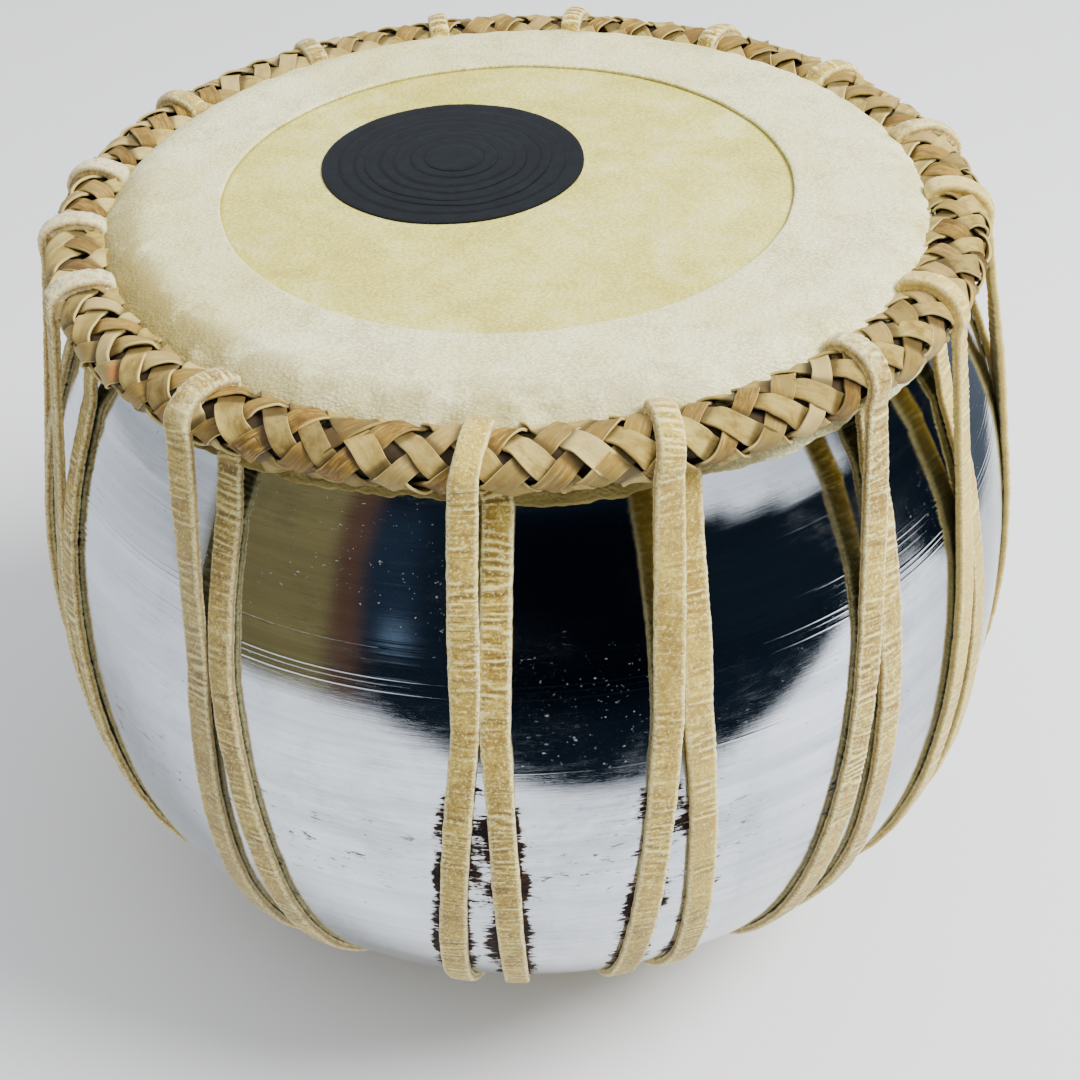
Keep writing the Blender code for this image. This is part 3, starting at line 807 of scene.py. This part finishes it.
def build_patch():
    """Paste laid in rings: each ring is a low step, rubbed round at its edge and a little out of true."""
    centre, radius = (PATCH_LOW + PATCH_HIGH) / 2, (PATCH_HIGH.x - PATCH_LOW.x) / 2
    rng = np.random.default_rng(31)
    angles = around(320)
    foot = CREST_Z - SKIN_STEP + HEAD_CROWN - 0.05 * MM
    rim_step = 0.50 * MM
    total = PATCH_HIGH.z - PATCH_LOW.z - rim_step
    rings = radius * np.cumsum(PATCH_RINGS) / sum(PATCH_RINGS)
    step = total / len(rings)
    shift = np.cumsum(rng.uniform(-0.45, 0.45, (len(rings), 2)), axis=0)[::-1] * MM
    shift -= shift[-1]
    rows = []                     # radius, height, darkness of the line, shift
    inner = 0.4 * MM
    for number, (outer, moved) in enumerate(zip(rings, shift)):
        base = foot + rim_step + total - step * (number + 1)
        for share in (0.0, 0.12, 0.35, 0.62, 0.80, 0.90, 0.96, 1.0):
            dome = 0.70 + 0.30 * smooth(share / 0.8) - 0.95 * smooth((share - 0.86) / 0.14)
            line = share == 1 or share == 0 < number
            rows.append((inner + (outer - inner) * share, base + step * dome, line, moved))
        inner = outer + 0.30 * MM
    for inset, height, line in ((0.1, 0.8, 0.0), (0.0, 0.35, 0.3), (0.0, 0.0, 1.0)):
        rows.append((radius - inset * MM, foot + rim_step * height, line, shift[-1]))
    across, heights, edges = (np.array([row[k] for row in rows], float)[:, None] for k in range(3))
    moved = np.array([row[3] for row in rows])
    spot = polar(radius, angles, across * 2.4)
    wobble = 1 + 0.014 * ripple(spot, 26 * MM, 32) * (1 - 0.75 * smooth((across / radius - 0.8) / 0.15))
    points = polar(across * wobble, angles, heights)
    points[..., :2] += np.array(centre[:2]) + moved[:, None]
    points[..., 2] += ripple(points, 6 * MM, 33) * 0.045 * MM * (heights > foot + 0.1 * MM)
    surface = Surface()
    turn_way = np.abs(angles - math.pi)[None, :]
    surface.add(points, capped=True, ring_way=across, turn_way=turn_way, ring_edge=edges)
    return surface.build("tuning_patch_paste", paste(), "iron_paste", ["tuning_patch"], body="head")


def build_plait():
    """Flat strips over and under each other along the hoop: pale faces lean one way, brown the other."""
    rng = np.random.default_rng(41)
    pitch = 2 * math.pi / PLAIT_CELLS
    rows = np.linspace(-0.35, 4.75, 62)
    tucked = smooth((rows - 4.0) / 0.6)
    section = PLAIT_FIRST - PLAIT_ROW * rows
    shares = np.array([-1.0, -0.95, -0.6, -0.2, 0.2, 0.6, 0.95, 1.0])
    surface = Surface()

    def drift(wavelength):
        return wander(len(rows), 1, wavelength, rng)

    for lean in (1, -1):
        for strip in range(PLAIT_CELLS):
            start = (strip + 0.13 * rng.uniform(-1, 1)) * pitch
            azimuth = start + lean * (rows / 2 + 0.09 * drift(14)) * pitch - math.pi / 2
            weave = np.tanh(1.9 * np.cos(math.pi * rows) * lean) / math.tanh(1.9)
            half_width = (3.15 if lean > 0 else 2.85) * MM * rng.uniform(0.80, 1.10) * (1 + 0.06 * drift(6))
            raised = ((0.48 * weave + 0.50 + rng.uniform(-0.10, 0.20)) * (1 - tucked) - 1.8 * tucked) * MM
            curled = rng.exponential(0.22, 2) * MM
            roll = (0.20 * drift(13))[:, None]
            normal = unit(polar(np.cos(section) / PLAIT_HALF[0], azimuth, np.sin(section) / PLAIT_HALF[1]))
            centre = polar(PLAIT_MIDDLE[0] + PLAIT_HALF[0] * np.cos(section), azimuth,
                           PLAIT_MIDDLE[1] + PLAIT_HALF[1] * np.sin(section)) + normal * raised[:, None]
            ahead = unit(np.gradient(centre, axis=0))
            side = unit(np.cross(ahead, normal))
            normal = np.cross(side, ahead)
            side = side * np.cos(roll) + normal * np.sin(roll)
            face = np.cross(side, ahead)
            curl = np.where(shares < 0, curled[0], curled[1]) * np.abs(shares) ** 5
            lifted = (smooth(weave) * (1 - tucked))[:, None] * curl
            line = centre[:, None] + side[:, None] * (half_width[:, None] * shares)[..., None]
            half_thick = STRIP_THICKNESS / 2 * (1 - 0.25 * (np.abs(shares) > 0.99))
            over = line + face[:, None] * (lifted + half_thick)[..., None]
            under = line + face[:, None] * (lifted - half_thick)[..., None]
            points = np.concatenate([over, under[:, ::-1]], axis=1)
            points += (ripple(points, 5 * MM, 42) * 0.09 * MM)[..., None] * face[:, None]
            stain = stain_at(points, 3.6 * MM)
            cross = np.concatenate([shares, shares[::-1]])
            surface.add(points, capped=True, tone=np.clip(rng.normal(0.05, 0.5), -1, 1), own=rng.uniform(),
                        flesh=np.clip(rng.normal(0.12 if lean > 0 else 0.88, 0.15), 0, 1),
                        edge=(np.abs(cross) > 0.99) * rng.uniform(0.4, 1.0),
                        along=lengths(centre)[:, None], cross=half_width[:, None] * cross, stain=stain,
                        # Painted shade, full where the strip dips under the other lean.
                        deep=smooth(0.25 - weave)[:, None])
    return surface.build("plaited_hoop_strips", plait_leather(), "plait_leather", ["plaited_hoop"])


def build_core():
    """The twisted hide rope that shows dark between the strips."""
    section = around(20)
    angles = around(900)
    middle = (PLAIT_MIDDLE[0] + 1.2 * MM, PLAIT_MIDDLE[1] + 0.2 * MM)
    lobes = 1 + 0.10 * np.cos(3 * section[None, :] + 40 * angles[:, None])
    radius = middle[0] + 5.9 * MM * lobes * np.cos(section)
    z = middle[1] + 4.6 * MM * lobes * np.sin(section)
    points = polar(radius, angles[:, None], z)
    surface = Surface().add(points[:, ::-1], looped=True)
    return surface.build("hoop_core_rope", rope_hide(), "core_leather", ["hoop_core"])


def build_ring():
    section = around(16)
    angles = around(240)
    radius = RING_RADIUS + RING_WIRE * np.cos(section)
    z = RING_MIDDLE_Z + RING_WIRE * np.sin(section)
    weld = 0.35 * MM * np.exp(-(((angles - math.pi / 2) * RING_RADIUS) / (2 * MM)) ** 2)[:, None]
    radius = radius + weld * np.cos(section)
    points = polar(radius, angles[:, None], z + weld * np.sin(section) * 0.5)
    surface = Surface().add(points[:, ::-1], looped=True)
    return surface.build("base_ring_wire", wire(), "ring_wire", ["base_ring"])


def build_strap(name, number, line, look):
    """A flat suede strap swept along its route, with creases, worn loop, uneven edges and a slight twist."""
    rng = np.random.default_rng(500 + number)
    count = len(line)
    radius, z, side = line.T

    def drift(wavelength):
        return wander(count, STRAP_STEP, wavelength * MM, rng)

    angle = strand_angle(places[name], radius, z, side) + 0.3 * MM * drift(45) / np.maximum(radius, 0.06)
    centre = polar(radius, angle, z)
    ahead = unit(np.gradient(centre, axis=0))
    flat = unit(np.gradient(line[:, :2], axis=0))
    across = unit(np.cross(polar(flat[:, 1], angle, -flat[:, 0]), ahead))
    normal = np.cross(ahead, across)
    hanging = smooth((z - OUTER_LEAVES_Z + 0.018) / 0.05) * (side < 0)
    roll = ((0.04 + 0.20 * hanging) * drift(50))[:, None]
    across, normal = (across * np.cos(roll) + normal * np.sin(roll),
                      normal * np.cos(roll) - across * np.sin(roll))

    loop = np.exp(-((z - HOOP_HIGH.z) / (8 * MM)) ** 2) * smooth((radius - 0.112) / 0.004)
    width = STRAP_WIDTH / 2 * (1 + 0.05 * drift(25) + 0.03 * drift(2.6)) * (1 - 0.12 * loop)
    thick = STRAP_THICKNESS / 2 * (1 + 0.10 * drift(18)) * (1 + 0.35 * loop)
    crease = np.zeros((count, len(STRAP_SECTION)))
    along = np.arange(count) * STRAP_STEP
    places_across, heights = np.array(STRAP_SECTION).T
    wrinkled = np.clip(0.95 + 0.55 * drift(38), 0.2, 1.6)
    for spacing, share in ((1.5, 0.8), (2.3, 0.8), (3.9, 0.5)):
        slant = rng.uniform(-0.22, 0.22) + 0.30 * drift(9)
        curve = 0.22 * drift(14)
        phase = ((along + 1.4 * MM * drift(5))[:, None] / (spacing * MM) + slant[:, None] * places_across
                 + curve[:, None] * places_across ** 2)
        reach = 0.62 + 0.38 * drift(9)[:, None] * places_across + 0.22 * drift(4)[:, None]
        strength = (share * (0.5 + 0.5 * drift(5)))[:, None] * np.clip(reach, 0.1, 1)
        crease += strength * np.sin(2 * math.pi * phase)
    crease = crease * wrinkled[:, None] * np.sign(heights + 0.01)
    bulge = 0.30 * loop[:, None] * (1 - places_across ** 2) * np.sign(heights)
    lift = 0.17 * MM * crease + 0.12 * MM * ripple(centre, 7 * MM, 600 + number)[:, None]
    aside = (width * (1 + 0.02 * crease[:, 0]))[:, None] * places_across
    points = (centre[:, None] + across[:, None] * aside[..., None]
              + normal[:, None] * (thick[:, None] * (heights + bulge) + lift)[..., None])
    edge = smooth((np.abs(places_across) - 0.66) / 0.26) * smooth((np.abs(heights) - 0.3) / 0.4)
    cut_side = 1 - smooth((np.abs(heights) - 0.35) / 0.4)
    stain = stain_at(points, 3.0 * MM)
    # How far round to the drum's right the strap sits; the tone below uses it as painted light, more golden
    # on the right and greyer on the left.
    right = math.cos(places[name][0])
    pale_loop = 0.12 + 0.46 * abs(right)
    surface = Surface()
    surface.add(points[:, ::-1], capped=True, edge=edge[None, ::-1], side=cut_side[None, ::-1],
                # The strap's crease heights, which set the painted ridge highlights and trough shade.
                crease=(0.5 + 0.34 * crease * np.sign(heights + 0.01))[:, ::-1],
                worn=(pale_loop * loop + 0.22 * drift(28) - 0.12 * right)[:, None],
                # Tone leans with the strap's place, greyer on the drum's left and golden on its right:
                # painted light over a random spread.
                tone=(np.clip(rng.normal(-0.40 * right, 0.2), -0.9, 0.9) + 0.25 * drift(60))[:, None],
                stain=stain[:, ::-1])
    return surface.build(f"suede_{name}", look, "suede_strap", [name])


def build_lacing():
    line = strap_route()
    look = suede()
    for number, name in enumerate(STRAPS, start=1):
        build_strap(name, number, line, look)


def finish_lining():
    """The lining skin keeps its CAD shape, and gets a raw hide material."""
    look = hide("lining_hide_raw", (0.42, 0.33, 0.19), (0.34, 0.26, 0.14), 0.3, (0.2, 0.14, 0.08))
    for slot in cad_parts["lining_skin"].material_slots:
        slot.material = look


# ---- stage
def build_floor():
    """A matt pale floor: the near part also shows in the chrome, the far doesn't."""
    look = Look("floor_matt", Roughness=0.9, Base_Color=(0.80, 0.81, 0.83))
    soft = look.noise(3.0, detail=2.0)
    look.set(Base_Color=look.tint(soft, (0.78, 0.79, 0.81), (0.84, 0.845, 0.86)))
    for name, corners, height in (("floor_near", CLOTH_CORNERS, 0.0),
                                  ("floor_far", ((-9, 9), (-9, -9), (9, -9), (9, 9)), -0.6 * MM)):
        mesh = bpy.data.meshes.new(name)
        mesh.from_pydata([(x, y, height) for x, y in corners], [], [range(len(corners))])
        mesh.materials.append(look.material)
        floor = put(name, mesh)
        if height:
            floor.visible_glossy = False


def build_world():
    """Soft studio light all round, bright overhead, with the coloured cards of CARDS for the chrome."""
    world = bpy.data.worlds.new("studio")
    bpy.context.scene.world = world
    world.use_nodes = True
    nodes = Nodes(world.node_tree)
    way = nodes.node("TexCoord").outputs["Generated"]
    split = nodes.node("SeparateXYZ", {"Vector": way})
    azimuth = nodes.math("ARCTAN2", split.outputs["Y"], split.outputs["X"])
    raised = nodes.math("ARCSINE", split.outputs["Z"])
    low = (0.78, 0.80, 0.84)
    colour = nodes.tint(nodes.step(raised, math.radians(28), math.radians(62)), low, (1.55, 1.56, 1.58))
    for left, right, bottom, top, blur, shade in CARDS:
        edges = [math.radians(degrees) for degrees in (left, right, bottom, top)]
        blur = math.radians(blur)
        inside = nodes.times(nodes.step(azimuth, edges[0] - blur, edges[0] + blur),
                             nodes.step(azimuth, edges[1] - blur, edges[1] + blur, 1.0, 0.0),
                             nodes.step(raised, edges[2] - blur, edges[2] + blur),
                             nodes.step(raised, edges[3] - blur, edges[3] + blur, 1.0, 0.0))
        colour = nodes.tint(inside, colour, shade)
    seen = nodes.node("LightPath").outputs["Is Camera Ray"]
    colour = nodes.tint(seen, colour, (0.80, 0.815, 0.85))
    background = world.node_tree.nodes["Background"]
    nodes.feed(background.inputs["Color"], colour)
    background.inputs["Strength"].default_value = ROOM_POWER


def build_light():
    data = bpy.data.lights.new("soft_key", "AREA")
    data.shape = "DISK"
    data.size = LAMP_WIDTH
    data.energy = LAMP_POWER
    lamp = put("soft_key", data)
    lamp.location = LAMP_PLACE
    lamp.rotation_euler = (Vector((0, 0, CREST_Z)) - lamp.location).to_track_quat("-Z", "Y").to_euler()
    lamp.visible_glossy = False


def build_camera():
    data = bpy.data.cameras.new("camera")
    data.lens = LENS
    data.clip_start = 0.01
    camera = put("camera", data)
    bpy.context.scene.camera = camera
    back = Vector((0, -math.cos(CAMERA_RAISED), math.sin(CAMERA_RAISED)))
    right = Vector((1, 0, 0))
    turn = Vector(CAMERA_TURN)
    aimed = Matrix.Rotation(turn.length, 3, turn) @ Matrix((right, right.cross(back), -back))
    facing = Matrix((aimed[0], -aimed[1], -aimed[2])).transposed()
    place = back * CAMERA_DISTANCE + Vector((0, 0, CREST_Z))
    camera.matrix_world = Matrix.Translation(place) @ facing.to_4x4()


build_camera()
build_world()
build_light()
build_floor()
build_bowl()
build_edge_skin()
build_playing_skin()
build_patch()
build_plait()
build_core()
build_ring()
build_lacing()
finish_lining()
